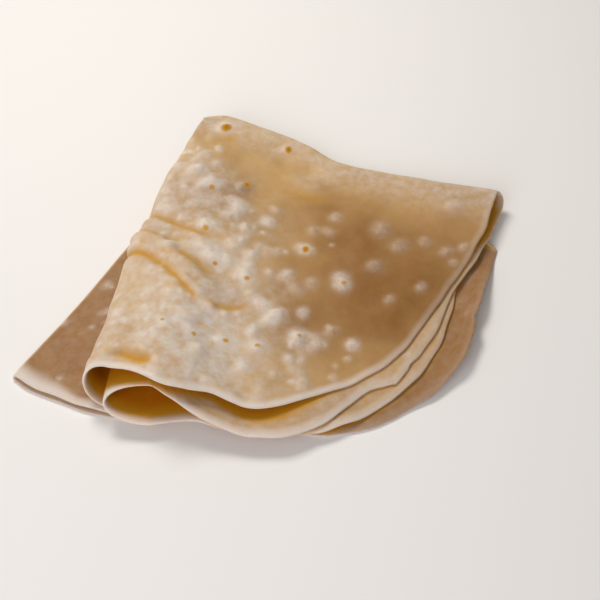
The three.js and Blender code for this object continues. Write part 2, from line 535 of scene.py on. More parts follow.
    def pinch(self, r: Array) -> Array:
        """Gives how much of the full thickness is left near the tip."""
        near = np.minimum(r / self.pinch_length, 1.0)
        return between((self.pinch_share, 1.0), np.sin(math.pi / 2 * near))

    def height_of(self, layer: Layer, r: Array, a: Array) -> Array:
        """Gives the height of the middle of one layer.

        Args:
            layer: The layer.
            r: Distances from the tip.
            a: Angles from the upper fold.

        Returns:
            Heights above the surface that the bread lies on.
        """
        bottom = self.thickness / 2 + self.swell(self.tip_lift, r, a) + self.swell(self.rim_curl, r, a)
        flap = bottom + self.pitch + self.swell(self.flap_gape, r, a)
        tuck = flap + self.pitch
        climb = between((self.over_pleat_at_tip, self.over_pleat[0]), smooth(r, self.over_pleat_r))
        bed = bottom + (tuck - bottom) * smooth(a, (climb, self.over_pleat[1]))
        risen = [self.swell(lift, r, a) for lift in (self.body_puff, self.fold_rise, self.lobe_rise)]
        third = bed + self.pitch + sum(risen)
        second = third + self.pitch + self.swell(self.inner_loop, r, a)
        gape = [self.swell(lift, r, a) for lift in (self.outer_loop, self.front_gape, self.upper_gape)]
        top = second + self.pitch + sum(gape)
        heights = {Layer.TOP: top, Layer.SECOND: second, Layer.THIRD: third,
                   Layer.TUCK: tuck, Layer.FLAP: flap, Layer.BOTTOM: bottom}
        return self.tip_height + (heights[layer] - self.tip_height) * self.pinch(r)

    def half_thickness(self, r: Array, edge: Array) -> Array:
        """Gives half the sheet's thickness, less towards the outer edge and the tip.

        Args:
            r: Distances from the tip.
            edge: Distances to the outer edge.

        Returns:
            Half thicknesses.
        """
        full = between((self.edge_thickness, self.thickness), smooth(edge, (0.0, self.edge_thins_over)))
        return full / 2 * self.pinch(r)

    def place(self, r: Array, a: Array, sideways: Array, height: Array) -> Array:
        """Sets places on the bread out in space.

        Args:
            r: Distances from the tip.
            a: Angles from the upper fold.
            sideways: Shifts towards growing a.
            height: Heights.

        Returns:
            Points, with the tip over the origin.
        """
        heading = np.radians(self.upper_heading - a)
        across = np.clip(a / self.outer_fold, 0.0, 1.0)
        dented = self.upper_dent.at(r) + self.upper_corner.at(r)
        bend = (self.swell(self.tip_shoulder, r, a) + dented) * (1 - across) ** 2
        shift = sideways + bend + self.lobe_corner.at(r) * across ** 3
        x = r * np.cos(heading) + shift * np.sin(heading)
        y = r * np.sin(heading) - shift * np.cos(heading)
        return np.stack([x, y, height], axis=-1)

    def panel(self, layer: Layer, start: Array, end: Array, share: Array, count: int,
              spacing: float = 1.0) -> Course:
        """Lays out one flat stretch of a layer, from one fold to the next.

        Args:
            layer: The layer.
            start: Angle where it starts, for each ring.
            end: Angle where it ends, for each ring.
            share: Share of the way from the tip to the edge, for each ring.
            count: Points along each ring.
            spacing: Under 1, points lie closer towards growing a.

        Returns:
            The stretch.
        """
        s = np.linspace(0.0, 1.0, count)
        rising = start[0] < end[0]
        along = s ** spacing if rising else 1 - (1 - s) ** spacing
        a = start[:, None] + (end - start)[:, None] * along[None, :]
        limit = self.edge_at(layer, a)
        r = share[:, None] * limit
        points = self.place(r, a, np.zeros_like(r), self.height_of(layer, r, a))
        return Course(points, r, a, limit - r, layer)

    def fold(self, upper: Layer, lower: Layer, at: Array, side: Side, share: Array, count: int,
             nose: float = 0.0) -> Course:
        """Lays out one fold, half an ellipse from one layer to another.

        Args:
            upper: The layer that it leaves.
            lower: The layer that it reaches.
            at: Angle of the fold, for each ring.
            side: Which way it bulges.
            share: Share of the way from the tip to the edge, for each ring.
            count: Points along each ring, without the layers' own.
            nose: Extra sideways reach for each millimetre that it stands open.

        Returns:
            The stretch.
        """
        limits = [self.edge_at(layer, at) for layer in (upper, lower)]
        ends = [share * limit for limit in limits]
        heights = [self.height_of(layer, r, at) for layer, r in zip((upper, lower), ends)]
        half = (heights[0] - heights[1]) / 2
        opened = np.maximum(np.abs(half) - self.pitch, 0.0)
        reach = np.abs(half) + nose * opened + self.snug_bulge * self.pinch(ends[0])
        turn = math.pi * np.arange(1, count + 1) / (count + 1)
        r, limit, height = (((first + last) / 2)[:, None] + ((first - last) / 2)[:, None] * np.cos(turn)
                            for first, last in (ends, limits, heights))
        sideways = side.value * reach[:, None] * np.sin(turn)
        a = at[:, None] + np.zeros_like(r)
        return Course(self.place(r, a, sideways, height), r, a, limit - r)

    def grid(self) -> SheetGrid:
        """Lays out the whole sheet round the tip.

        Returns:
            The sheet's middle, with the tip over the origin.
        """
        share = np.linspace(self.first_ring, 1.0, self.ring_count)
        upper, lower, pleat, inner, outer = (
            np.full_like(share, angle)
            for angle in (self.upper_fold, self.lower_fold, self.pleat, self.inner_fold, self.outer_fold))
        turned_back = np.arcsin(np.minimum(self.flap_line_offset / (share * self.radius), 1.0))
        flap = np.maximum(self.flap_fold, self.flap_line - np.degrees(turned_back))
        left = self.denser_left
        top, second, third, tuck, flap_layer, bottom = Layer
        nothing, own_edge = Cover
        # Brown on the flap and on the bottom layer is partly painted shade; rim and dry on the second
        # layer's fold and panel are partly painted highlight on its lips.
        stretches = [
            Stretch(self.panel(top, upper, outer, share, 190, left), nothing, own_edge,
                    follows=1.0, shows=True),
            Stretch(self.fold(top, tuck, outer, Side.LEFT, share, 26), nothing, own_edge,
                    follows=1.0, shows=True),
            Stretch(self.panel(tuck, outer, pleat, share, 6), top, own_edge, brown=0.8),
            Stretch(self.fold(tuck, flap_layer, pleat, Side.RIGHT, share, 4), top, top),
            Stretch(self.panel(flap_layer, pleat, flap, share, 48), nothing, own_edge, brown=1.0, dry=0.16),
            Stretch(self.fold(flap_layer, bottom, flap, Side.LEFT, share, 10), nothing, own_edge, brown=0.5),
            Stretch(self.panel(bottom, flap, lower, share, 110), nothing, third, brown=1.0, dry=0.15),
            Stretch(self.fold(bottom, third, lower, Side.RIGHT, share, 8), nothing, own_edge),
            Stretch(self.panel(third, lower, inner, share, 74, left), second, own_edge,
                    follows=0.35, amber_from=(54.0, 62.0)),
            Stretch(self.fold(third, second, inner, Side.LEFT, share, 26, self.inner_nose), own_edge, top,
                    follows=0.5, dry=0.7, rim=1.0),
            Stretch(self.panel(second, inner, upper, share, 100, left), own_edge, top,
                    follows=0.68, dry=0.4, rim=1.0),
            Stretch(self.fold(second, top, upper, Side.RIGHT, share, 10), nothing, own_edge,
                    follows=0.9, dry=0.6),
        ]
        courses = [stretch.course for stretch in stretches]
        points, r, a, edge = (np.concatenate([getattr(course, name) for course in courses], axis=1)
                              for name in ("points", "r", "a", "edge"))
        outside, inside = (np.concatenate([self.depth_under(getattr(stretch, face), stretch.course)
                                           for stretch in stretches], axis=1)
                           for face in ("over_outside", "over_inside"))
        amber = np.concatenate([smooth(stretch.course.a, stretch.amber_from) if stretch.amber_from
                                else np.zeros_like(stretch.course.a) for stretch in stretches], axis=1)
        counts = [course.r.shape[1] for course in courses]
        follows, shows, brown, dry, rim = (
            np.repeat([float(getattr(stretch, name)) for stretch in stretches], counts)
            for name in ("follows", "shows", "brown", "dry", "rim"))
        layer = np.repeat([NO_LAYER if course.layer is None else course.layer.value for course in courses],
                          counts)
        steps = np.linalg.norm(np.diff(points, axis=1), axis=2) / r[:, 1:]
        turn = np.degrees(np.concatenate([np.zeros((len(share), 1)), steps.cumsum(axis=1)], axis=1))
        turn[:, counts[0]:] += self.outer_fold - turn[:, counts[0] - 1:counts[0]]
        turn[:, :counts[0]] = courses[0].a
        return SheetGrid(points, r, a, turn, edge, outside, inside, amber, follows, shows, layer, brown, dry,
                         rim, int(shows.sum()))

    def depth_under(self, cover: "Layer | Cover", course: Course) -> Array:
        """Gives how far in under an edge each point of a stretch lies.

        Args:
            cover: What covers the stretch.
            course: The stretch.

        Returns:
            Distances, below 0 where the stretch is open.
        """
        if cover is Cover.NOTHING:
            return np.full(course.r.shape, -self.radius)
        if cover is Cover.OWN_EDGE:
            return course.edge - self.lip
        under = self.edge_at(cover, course.a) - course.r
        # Under the top layer the painted shade reaches further out where the front gap and the right corner
        # open.
        if cover is Layer.TOP:
            under += self.gap_reach * smooth(course.a, self.gap_side) * smooth(course.a, self.gap_end)
            under += self.corner_reach * smooth(course.a, self.corner_side)
        if cover in self.open_from:
            loop = smooth(course.a, self.open_from[cover])
            under += loop * (course.edge - self.lip - under)
        return under


@dataclass
class Baking:
    """Creases, blisters and clouds of the top face, browned and partly painted shade, and smaller blisters
    spread all over.

    Each blister is given by its r, a and radius, how pale it is, the radius of its toasted spot, and how far
    its dome lies behind the spot; each cloud and pale patch by its r, a, radius and depth.
    """

    creases: tuple[Crease, ...] = (
        Crease(((77, 90), (78.7, 81.3), (80.9, 76.2), (85.2, 70.5), (89.4, 66.8), (91.7, 63.9), (93.3, 59.4),
                (96.4, 55)), -1.4, 2.6, amber=0.8),
        Crease(((83, 90), (84.4, 80.6), (86.2, 75.1), (89.9, 68.3), (95, 63.9), (97.7, 59.8)), 1.3, 2.4),
        Crease(((92.5, 90), (94.1, 80), (95.8, 75.5), (96.2, 71.2), (99.4, 66.8)), -1.5, 2.4, amber=0.6),
        Crease(((96, 90), (97, 81), (99.9, 75.4), (105.9, 71.5), (109.5, 69), (113, 66.8), (120.1, 64.3),
                (127, 60)), 2.3, 2.8),
        Crease(((100.1, 71.5), (108.5, 67.9), (111.9, 65.2), (115.5, 63.6), (120, 60.2)), -1.2, 3.4,
               amber=0.7),
        Crease(((104, 88), (104.7, 80.8), (106.8, 78), (109.2, 74.8)), 0.9, 1.6),
        Crease(((107.5, 90), (108.2, 80), (110.8, 76.2), (116.3, 72.3), (120.9, 70.1), (125.6, 68.3),
                (129.4, 66.8), (133.3, 65.4), (136.8, 64)), -1.6, 2.4, amber=1.0, taper=0.12),
        Crease(((134, 65), (136.4, 62.8), (138.1, 59.4), (137.8, 57.6), (136.9, 54)), -0.6, 2.2, amber=0.8),
        Crease(((120.4, 67.5), (123.7, 65.4), (125.5, 63.9)), -0.5, 2.0, amber=0.35),
        Crease(((125.9, 66.4), (128.9, 64.3), (129.2, 62), (130.4, 59.1), (134.4, 56.5)), 0.8, 2.0),
        Crease(((170, 78), (171.1, 75.5), (172.5, 73.7), (173.6, 71.9), (175, 70)), -1.7, 3.0, amber=1.1),
        Crease(((176, 84), (173.7, 79.3), (170.2, 78.5), (167.1, 75.9), (167.9, 73.3), (170.8, 70.8),
                (174.1, 68)), 1.7, 2.2),
        Crease(((176, 65.5), (177.5, 64.3), (180.2, 62.8), (184, 61.3), (188, 59.8), (192, 58)), 1.5, 2.6),
        Crease(((46, 18), (51, 16.6), (58.4, 14.3), (65.9, 12), (76, 10)), -1.2, 6.0, amber=0.3),
        Crease(((60, 25), (63.6, 22), (69.8, 18.8), (77.7, 15.7), (86, 14)), 1.0, 2.6),
        Crease(((64, 29), (67.9, 26.6), (76.7, 23.6), (84.4, 21), (95, 18.5)), -0.9, 4.0, amber=0.45),
        Crease(((21, 60), (23.6, 36), (28, 24)), -0.4, 4.0, amber=0.35),
    )
    blisters: tuple[Blister, ...] = tuple(Blister(*sizes) for sizes in (
        (16, 27, 5.5, 0.8, 2.3, 1.5), (51, 8, 4.0, 0.5, 1.7, 1.0), (58, 42.7, 4.0, 0.1, 1.6),
        (60, 59.4, 4.5, 0.85, 1.2, 3.0), (89, 62, 5.5, 0.8, 1.2, 3.0), (103, 23.2, 4.0, 0.5, 0.7),
        (111, 36.8, 4.5, 0.85, 1.7, 1.0), (111, 60.6, 6.5, 0.85, 1.1, 4.0),
        (121, 53.8, 6.0, 0.85, 1.2, 4.0), (140, 34.8, 5.5, 0.85, 1.2, 2.0), (151, 70.5, 3.5, 0.5, 0.9),
        (156, 65.4, 4.0, 0.6, 1.0, 1.0), (157, 60.2, 5.0, 0.75, 1.2), (161, 55, 5.0, 0.75, 1.2),
        (159, 47.7, 5.0, 0.8, 1.0, 1.0), (73.8, 78, 6.0, 0.7), (72.3, 49.7, 5.0, 0.75),
        (85.2, 41.5, 4.0, 0.85), (80, 36.4, 3.4), (89.7, 49.7, 3.0), (96.1, 51.9, 3.0),
        (106.7, 51.2, 4.5, 0.65), (100.1, 62.8, 5.0, 0.5), (125, 18.4, 6.0), (139, 19.3, 5.0),
        (147, 15.2, 3.6), (159, 14.8, 3.8), (165, 12.4, 3.0, 0.5), (166, 16.1, 3.0, 0.5), (149, 5.4, 5.0),
        (140, 27, 4.4), (164, 24, 3.2, 0.5), (160, 29.9, 3.0, 0.45), (172, 40, 4.0, 0.8),
        (102, 31.1, 3.6), (108, 28.2, 3.4), (122, 44.7, 4.0, 0.7), (146, 51.6, 4.4, 0.8),
        (138, 51.9, 4.0, 0.8), (146, 45, 3.6, 0.7), (144, 49.3, 3.2, 0.7), (167, 46.2, 3.4),
        (170, 50.4, 3.4), (161, 41.9, 3.6), (145, 66.8, 5.0), (132.9, 74.8, 4.0), (143.9, 74.1, 4.0),
        (142.4, 59.8, 4.0),
    ))
    # Some clouds are painted shade, where the sheet is turned from the light.
    clouds: tuple[Patch, ...] = tuple(Patch(*sizes) for sizes in (
        (62, 13, 12, 0.1), (70, 17, 12, -0.25), (65, 64, 24, 0.5), (88, 22, 16, 0.25), (12, 66, 9, 0.2),
        (60, 46, 8, 0.4), (113, 64, 9, 0.3), (160, 32, 30, 0.43), (110, 34, 26, 0.2), (156, 46, 20, 0.35),
        (130, 48, 16, 0.15),
    ))
    # Some pale patches are partly painted highlight on faces turned to the light.
    pale_patches: tuple[Patch, ...] = tuple(Patch(*sizes) for sizes in (
        (150, 64, 26, 0.4), (174, 64, 14, 0.35), (72, 18, 10, 0.3), (88, 45, 15, 0.3), (54, 48, 13, 0.3),
        (128, 47, 10, 0.2),
    ))
    # Browning grows towards the right and is less along the upper fold; the darker right side is partly
    # painted shade.
    brown_side: Span = (58.0, 10.0)
    brown_side_r: Span = (50.0, 130.0)
    brown_side_depth: float = 0.66
    brown_fold: Span = (4.0, 46.0)
    brown_fold_share: float = 0.35
    brown_plain: float = 0.2
    # Painted amber shade shows in the creases and in under the edges, and not at a lip or close to the tip.
    crease_amber: float = 0.9
    shaded: Span = (-2.0, 1.5)
    deep: Span = (-1.0, 10.0)
    lit_lip: Span = (0.5, 9.0)
    tip_lit: Span = (4.0, 16.0)
    # Dry, pale dough lies on the left and in the patches above; the pale band along the upper fold, the pale
    # rim along the edges and some of the patches are painted highlight.
    pale_side: Span = (42.0, 62.0)
    pale_side_r: Span = (5.0, 60.0)
    pale_end: Span = (82.0, 98.0)
    pale_depth: float = 0.55
    pale_plain: float = 0.04
    pale_edge: Span = (4.5, 0.6)
    pale_edge_side: Span = (24.0, 52.0)
    pale_edge_depth: Span = (0.25, 0.85)
    pale_flap: float = 1.2
    pale_flap_side: Span = (82.0, 90.0)
    pale_fold: Span = (26.0, 2.0)
    pale_fold_r: Span = (192.0, 172.0)
    # Smaller blisters are spread over the whole disc; those far round it lie on the layers below.
    seed: int = 7
    mound_count: int = 700
    mound_area: Span = (0.01, 1.0)
    mound_disc: float = 190.0
    mound_radius: Span = (1.5, 5.0)
    mound_mostly_small: float = 2.2
    mound_rise: float = 0.28
    mound_rise_least: float = 0.4
    mound_frost: Span = (0.16, 0.62)
    mound_side: Span = (34.0, 60.0)
    mound_chance: Span = (0.03, 1.0)
    mound_chance_far: float = 0.18
    top_ends: float = 95.0
    far_toasts: int = 24
    far_toast: float = 1.3
    far_toasts_from: float = 140.0
    # Every blister is a little longer one way, steep at its side, and less pale where the dough is brown.
    blister_stretch: Span = (1.0, 1.3)
    blister_reach: float = 2.2
    blister_steep: float = 2.0
    frost_steep: float = 0.9
    frost_browned: float = 0.2
    # Toasted spots fade out within the limit, and only the larger ones are scorched in the middle.
    toast_limit: float = 8.0
    scorched_from: float = 1.6
    golden_only: float = 0.85
    # The soft unevenness is a sum of waves.
    cockle_waves: int = 26
    cockle_length: Span = (16.0, 46.0)
    cockle_height: float = 0.5
    cockle_sinks: float = 0.3

    def mounds(self) -> list[Blister]:
        """Draws the smaller blisters, thickest on the left half of the top face.

        Returns:
            Soft mounds spread over the whole disc, many of them run together.
        """
        draws = np.random.default_rng(self.seed)
        found: list[Blister] = []
        while len(found) < self.mound_count:
            r = self.mound_disc * math.sqrt(draws.uniform(*self.mound_area))
            a = draws.uniform(0.0, 4 * QUARTER_TURN)
            size, strength = draws.uniform() ** self.mound_mostly_small, draws.uniform()
            chance = self.mound_chance_far
            if a < self.top_ends:
                chance = between(self.mound_chance, float(smooth(np.array(a), self.mound_side)))
            if draws.uniform() < chance:
                toasts = a > self.far_toasts_from and len(found) % (self.mound_count // self.far_toasts) == 0
                radius, frost = between(self.mound_radius, size), between(self.mound_frost, strength)
                rise = self.mound_rise * (self.mound_rise_least + strength)
                found.append(Blister(r, a, radius, frost, self.far_toast if toasts else 0.0, rise=rise))
        return found

    def paleness(self, r: Array, turn: Array) -> Array:
        """Gives how dry and pale the top face is between its blisters.

        It is paler on the left, along the upper fold and in the pale patches; along the upper fold and in
        some patches this is painted highlight.

        Args:
            r: Distances from the tip.
            turn: Angles round the flat disc.

        Returns:
            Shares from 0 to 1.
        """
        left = smooth(turn, self.pale_side) * (1 - smooth(turn, self.pale_end)) * smooth(r, self.pale_side_r)
        across = r * np.sin(np.radians(np.minimum(turn, QUARTER_TURN)))
        fold = smooth(across, self.pale_fold) * smooth(r, self.pale_fold_r)
        pale = self.pale_plain + self.pale_depth * np.maximum(left, fold)
        for patch in self.pale_patches:
            pale += patch.share_at(*on_disc(r, turn))
        return np.clip(pale, 0.0, 1.0)

    def brownness(self, x: Array, y: Array) -> Array:
        """Gives how brown the top face is: more towards the right, and in the clouds, partly as painted
        shade.

        Args:
            x: Places on the flat disc.
            y: Places on the flat disc.

        Returns:
            Shares from 0 to 1.
        """
        angle = np.degrees(np.arctan2(y, x))
        right = smooth(angle, self.brown_side) * smooth(np.hypot(x, y), self.brown_side_r)
        right *= between((self.brown_fold_share, 1.0), smooth(np.abs(y), self.brown_fold))
        tan = self.brown_plain + self.brown_side_depth * right
        for cloud in self.clouds:
            tan += cloud.share_at(x, y)
        return np.clip(tan, 0.0, 1.0)

    def cockle(self, x: Array, y: Array) -> Array:
        """Gives the soft unevenness of the whole sheet.

        Args:
            x: Places on the flat disc.
            y: Places on the flat disc.

        Returns:
            Heights, hardly ever below 0, so that no layer sinks into the one below.
        """
        draws = np.random.default_rng(self.seed + 1)
        total = np.zeros_like(x)
        for _ in range(self.cockle_waves):
            heading = draws.uniform(0.0, math.pi)
            length = draws.uniform(*self.cockle_length)
            phase = draws.uniform(0.0, 2 * math.pi)
            total += np.sin(2 * math.pi * (x * math.cos(heading) + y * math.sin(heading)) / length + phase)
        uneven = total / math.sqrt(self.cockle_waves / 2)
        return self.cockle_height * (np.log1p(np.exp(uneven)) - self.cockle_sinks)

    def raise_blisters(self, x: Array, y: Array) -> tuple[Array, Array, Array]:
        """Raises every blister.

        Args:
            x: Places on the flat disc.
            y: Places on the flat disc.

        Returns:
            Heights, how dry and pale the blisters are, and the distance to the nearest toasted spot in
            shares of its radius.
        """
        height, ground = np.zeros_like(x), np.ones_like(x)
        toast = np.full(x.shape, self.toast_limit)
        draws = np.random.default_rng(self.seed + 2)
        for blister in (*self.blisters, *self.mounds()):
            tilt, stretch = draws.uniform(0.0, math.pi), draws.uniform(*self.blister_stretch)
            reach = max(self.blister_reach * blister.radius * stretch, self.toast_limit * blister.toast)
            dome_x, dome_y = blister.dome()
            dx, dy = x - dome_x, y - dome_y
            near = (np.abs(dx) < reach) & (np.abs(dy) < reach)
            dx, dy = dx[near], dy[near]
            u = (dx * math.cos(tilt) + dy * math.sin(tilt)) / stretch
            v = (dy * math.cos(tilt) - dx * math.sin(tilt)) * stretch ** 0.5
            share = np.hypot(u, v) / blister.radius
            height[near] += blister.rise * blister.radius * np.exp(-self.blister_steep * share ** 2)
            ground[near] *= 1 - blister.frost * np.exp(-self.frost_steep * share ** 3)
            if blister.toast:
                spot_x, spot_y = blister.spot()
                away = np.hypot(x[near] - spot_x, y[near] - spot_y) / blister.toast
                scorch = 0.0 if blister.toast >= self.scorched_from else self.golden_only
                toast[near] = np.minimum(toast[near], np.maximum(away, scorch))
        return height, 1 - ground, toast


@dataclass(frozen=True)
class BakedDough:
    """Soft wheat dough, rolled thin and baked for seconds on a hot dome: matte, a little translucent."""

    name: str = "soft_wheat_dough_griddle_baked"
    cream: str = "#d9b275"
    # Tan is browning, and partly painted shade on the right side, in some clouds, on the flap and on the
    # bottom layer.
    tan: str = "#9a6a2c"
    # Pale is flour, and also painted highlight along the upper fold; dry is dried blister skin, and also the
    # painted highlight along the edges.
    pale: str = "#e1d9d1"
    dry: str = "#ebe3da"
    # Amber and deep are painted shade in the creases, between the layers and in the loops.
    amber: str = "#d09a22"
    deep: str = "#c27608"
    toasted: str = "#cf9722"
    scorched: str = "#9a6210"
    roughness: float = 0.5
    ior: float = 1.45
    soak: float = 0.8
    soak_depth: float = 1.5
    soak_by_channel: tuple[float, float, float] = (1.0, 0.6, 0.3)
    gloss: float = 0.15
    noise_middle: Span = (0.3, 0.7)
    cloud_size: float = 16.0
    cloud_depth: float = 0.12
    frost_size: float = 3.2
    frost_uneven: Span = (0.7, 1.3)
    frost_shows: Span = (-0.1, 1.1)
    frost_depth: float = 0.85
    flour_size: float = 4.4
    flour_depth: Span = (0.26, 1.0)
    toasted_over: Span = (1.5, 0.7)
    scorched_over: Span = (0.8, 0.1)
    scorched_depth: float = 0.6
    grain_size: float = 2.2
    grain_depth: float = 0.3
    grain_strength: float = 0.5

    def material(self) -> bpy.types.Material:
        """Makes the dough's material.

        Returns:
            The material, coloured by the marks on the mesh.
        """
        dough = bpy.data.materials.new(self.name)
        dough.use_nodes = True
        tree = dough.node_tree
        tree.nodes.clear()
        marks = {mark: add_node(tree, "ShaderNodeAttribute", {"attribute_name": mark.value}).outputs["Fac"]
                 for mark in Mark}
        place = add_node(tree, "ShaderNodeTexCoord").outputs["Object"]
        noise_range = {"From Min": self.noise_middle[0], "From Max": self.noise_middle[1]}

        # Uneven heat leaves faint clouds of tan in the golden dough, each about as wide as a thumb.
        cloud = add_node(tree, "ShaderNodeTexNoise", None,
                         {"Vector": place, "Scale": 1 / (self.cloud_size * MM), "Detail": 2.0})
        browner = add_node(tree, "ShaderNodeMapRange", None,
                           {"Value": cloud.outputs["Fac"], **noise_range,
                            "To Min": -self.cloud_depth, "To Max": self.cloud_depth})
        tanned = add_node(tree, "ShaderNodeMath", {"operation": "ADD", "use_clamp": True},
                          {0: browner.outputs["Result"], 1: marks[Mark.TAN]})

        # Raised dough dries first and turns pale, in soft patches with uneven edges; the sheet's own edges
        # get the same pale colour as a painted highlight.
        patch = add_node(tree, "ShaderNodeTexNoise", None,
                         {"Vector": place, "Scale": 1 / (self.frost_size * MM), "Detail": 3.0,
                          "Roughness": 0.6})
        uneven = add_node(tree, "ShaderNodeMapRange", {"clamp": False},
                          {"Value": patch.outputs["Fac"], **noise_range,
                           "To Min": self.frost_uneven[0], "To Max": self.frost_uneven[1]})
        frosted = add_node(tree, "ShaderNodeMath", {"operation": "MULTIPLY"},
                           {0: marks[Mark.FROST], 1: uneven.outputs["Result"]})
        dry = add_node(tree, "ShaderNodeMapRange", {"interpolation_type": "SMOOTHSTEP"},
                       {"Value": frosted.outputs["Value"], "From Min": self.frost_shows[0],
                        "From Max": self.frost_shows[1], "To Min": 0.0, "To Max": self.frost_depth})
        dry_and_highlight = add_node(tree, "ShaderNodeMath", {"operation": "MAXIMUM"},
                         {0: dry.outputs["Result"], 1: marks[Mark.EDGE]})

        # Flour left on the sheet shows as fine white mottling with golden dough between, drawn coarser than
        # it is so that it shows; its mark is raised as painted highlight along the upper fold and in some
        # pale patches.
        dust = add_node(tree, "ShaderNodeTexNoise", None,
                        {"Vector": place, "Scale": 1 / (self.flour_size * MM), "Detail": 3.0,
                         "Roughness": 0.55})
        dusted = add_node(tree, "ShaderNodeMapRange", None,
                          {"Value": dust.outputs["Fac"], **noise_range,
                           "To Min": self.flour_depth[0], "To Max": self.flour_depth[1]})
        floured = add_node(tree, "ShaderNodeMath", {"operation": "MULTIPLY"},
                           {0: dusted.outputs["Result"], 1: marks[Mark.MOTTLE]})

        # The tops of the thickest blisters touched the hot dome: a golden spot with a scorched middle.
        golden = add_node(tree, "ShaderNodeMapRange", {"interpolation_type": "SMOOTHSTEP"},
                          {"Value": marks[Mark.TOAST], "From Min": self.toasted_over[0],
                           "From Max": self.toasted_over[1]})
        dark = add_node(tree, "ShaderNodeMapRange", {"interpolation_type": "SMOOTHSTEP"},
                        {"Value": marks[Mark.TOAST], "From Min": self.scorched_over[0],
                         "From Max": self.scorched_over[1], "To Min": 0.0, "To Max": self.scorched_depth})

        # The colours lie over each other in this order. Amber and deep are painted shade in the creases,
        # between the layers and in the loops, darker further in.
        colour: object = linear(self.cream)
        for share, over in ((tanned.outputs["Value"], self.tan), (floured.outputs["Value"], self.pale),
                            (dry_and_highlight.outputs["Value"], self.dry), (marks[Mark.AMBER], self.amber),
                            (marks[Mark.DEEP], self.deep), (golden.outputs["Result"], self.toasted),
                            (dark.outputs["Result"], self.scorched)):
            mixed = add_node(tree, "ShaderNodeMix", {"data_type": "RGBA"},
                             {"Factor": share, 6: colour, 7: linear(over)})
            colour = mixed.outputs[2]

        # Flour and steam leave fine pebbles, drawn a little coarser than they are so that they show.
        grain = add_node(tree, "ShaderNodeTexNoise", None,
                         {"Vector": place, "Scale": 1 / (self.grain_size * MM), "Detail": 3.0})
        bump = add_node(tree, "ShaderNodeBump", None,
                        {"Height": grain.outputs["Fac"], "Strength": self.grain_strength,
                         "Distance": self.grain_depth * MM})
        surface = add_node(tree, "ShaderNodeBsdfPrincipled", None,
                           {"Base Color": colour, "Roughness": self.roughness, "IOR": self.ior,
                            "Subsurface Weight": self.soak, "Subsurface Radius": self.soak_by_channel,
                            "Subsurface Scale": self.soak_depth * MM, "Normal": bump.outputs["Normal"],
                            "Specular IOR Level": self.gloss})
        add_node(tree, "ShaderNodeOutputMaterial", None, {"Surface": surface.outputs["BSDF"]})
        return dough


